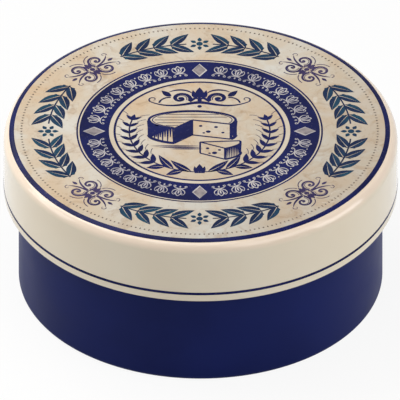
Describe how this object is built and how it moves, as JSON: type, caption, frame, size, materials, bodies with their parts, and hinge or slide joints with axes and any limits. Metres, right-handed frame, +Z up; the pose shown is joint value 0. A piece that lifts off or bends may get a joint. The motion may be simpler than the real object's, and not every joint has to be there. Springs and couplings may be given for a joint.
{
  "type": "camembert baker",
  "caption": "Round lidded ceramic baker for a soft cheese: a straight-sided dish under a flat-topped cap lid whose skirt hangs outside the dish wall.",
  "frame": {"origin": "centre of the foot ring's flat underside, on the axis of the round dish", "axes": "+Z up along the axis of dish and lid; the picture looks along +Y from above, with +X to its right"},
  "size_m": [0.14, 0.14, 0.0627],
  "materials": {
    "blue_glaze": "glossy deep cobalt glaze",
    "cream_glaze": "glossy cream glaze with a printed flat top"
  },
  "bodies": {
    "root": {"dish": "blue_glaze", "lid": "cream_glaze"}
  },
  "joints": []
}
